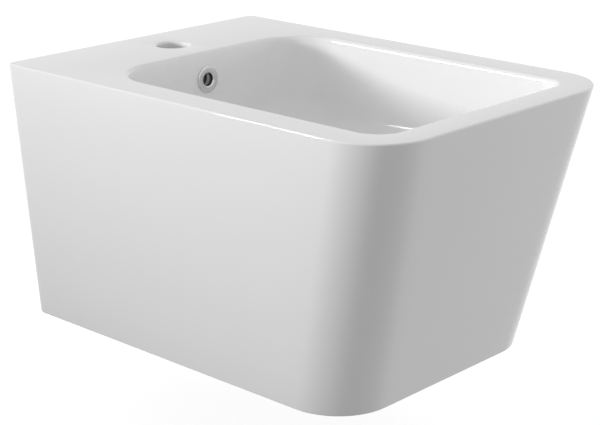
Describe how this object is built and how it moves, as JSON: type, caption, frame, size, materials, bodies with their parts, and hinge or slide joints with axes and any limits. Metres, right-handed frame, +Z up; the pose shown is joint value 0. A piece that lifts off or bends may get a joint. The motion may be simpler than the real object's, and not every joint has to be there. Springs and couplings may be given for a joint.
{
  "type": "wall-hung bidet",
  "caption": "Wall-hung ceramic bidet with a tapering square skirt, rounded front corners, drafted bowl, single tap hole, overflow, push-open waste and bottle trap.",
  "frame": {"origin": "on the wall face, midway between the two wall fixing holes", "axes": "+Z up, +Y into the wall, the front faces -Y, +X to the right seen from the front"},
  "size_m": [0.3594, 0.5032, 0.28],
  "materials": {
    "glaze": "gloss white glaze",
    "chrome": "polished plate",
    "rubber": "matt black",
    "brass": "turned",
    "spring_steel": "drawn wire",
    "white_plastic": "moulded satin",
    "nylon": "moulded matt",
    "zinc_steel": "zinc plated"
  },
  "bodies": {
    "bidet": {"ceramic_body": "glaze", "overflow_ring": "chrome", "overflow_gasket": "rubber", "waste_body": "chrome", "clicker_housing": "brass", "clicker_collar": "brass", "clicker_spring": "spring_steel", "waste_upper_gasket": "rubber", "waste_lower_gasket": "rubber", "slip_washer": "white_plastic", "waste_back_nut": "brass", "trap_inlet_nut": "white_plastic", "trap_inlet_washer": "rubber", "trap_dip_tube": "white_plastic", "trap_body": "white_plastic", "trap_cup": "white_plastic", "trap_cup_seal": "rubber", "outlet_nut": "white_plastic", "outlet_seal": "rubber", "outlet_pipe": "white_plastic", "fixing_sleeves": "nylon", "fixing_washers": "zinc_steel", "fixing_nuts": "zinc_steel"},
    "waste_plug": {"waste_plug_cap": "chrome", "plug_seal": "rubber", "clicker_plunger": "brass"}
  },
  "joints": [
    {"name": "waste_plug_press", "type": "slide", "parent": "bidet", "child": "waste_plug", "axis": [0, 0, 1], "range_m": [-0.009, 0], "stiffness_N_per_m": 600, "springref_m": 0.012, "deforming": ["clicker_spring"]}
  ]
}
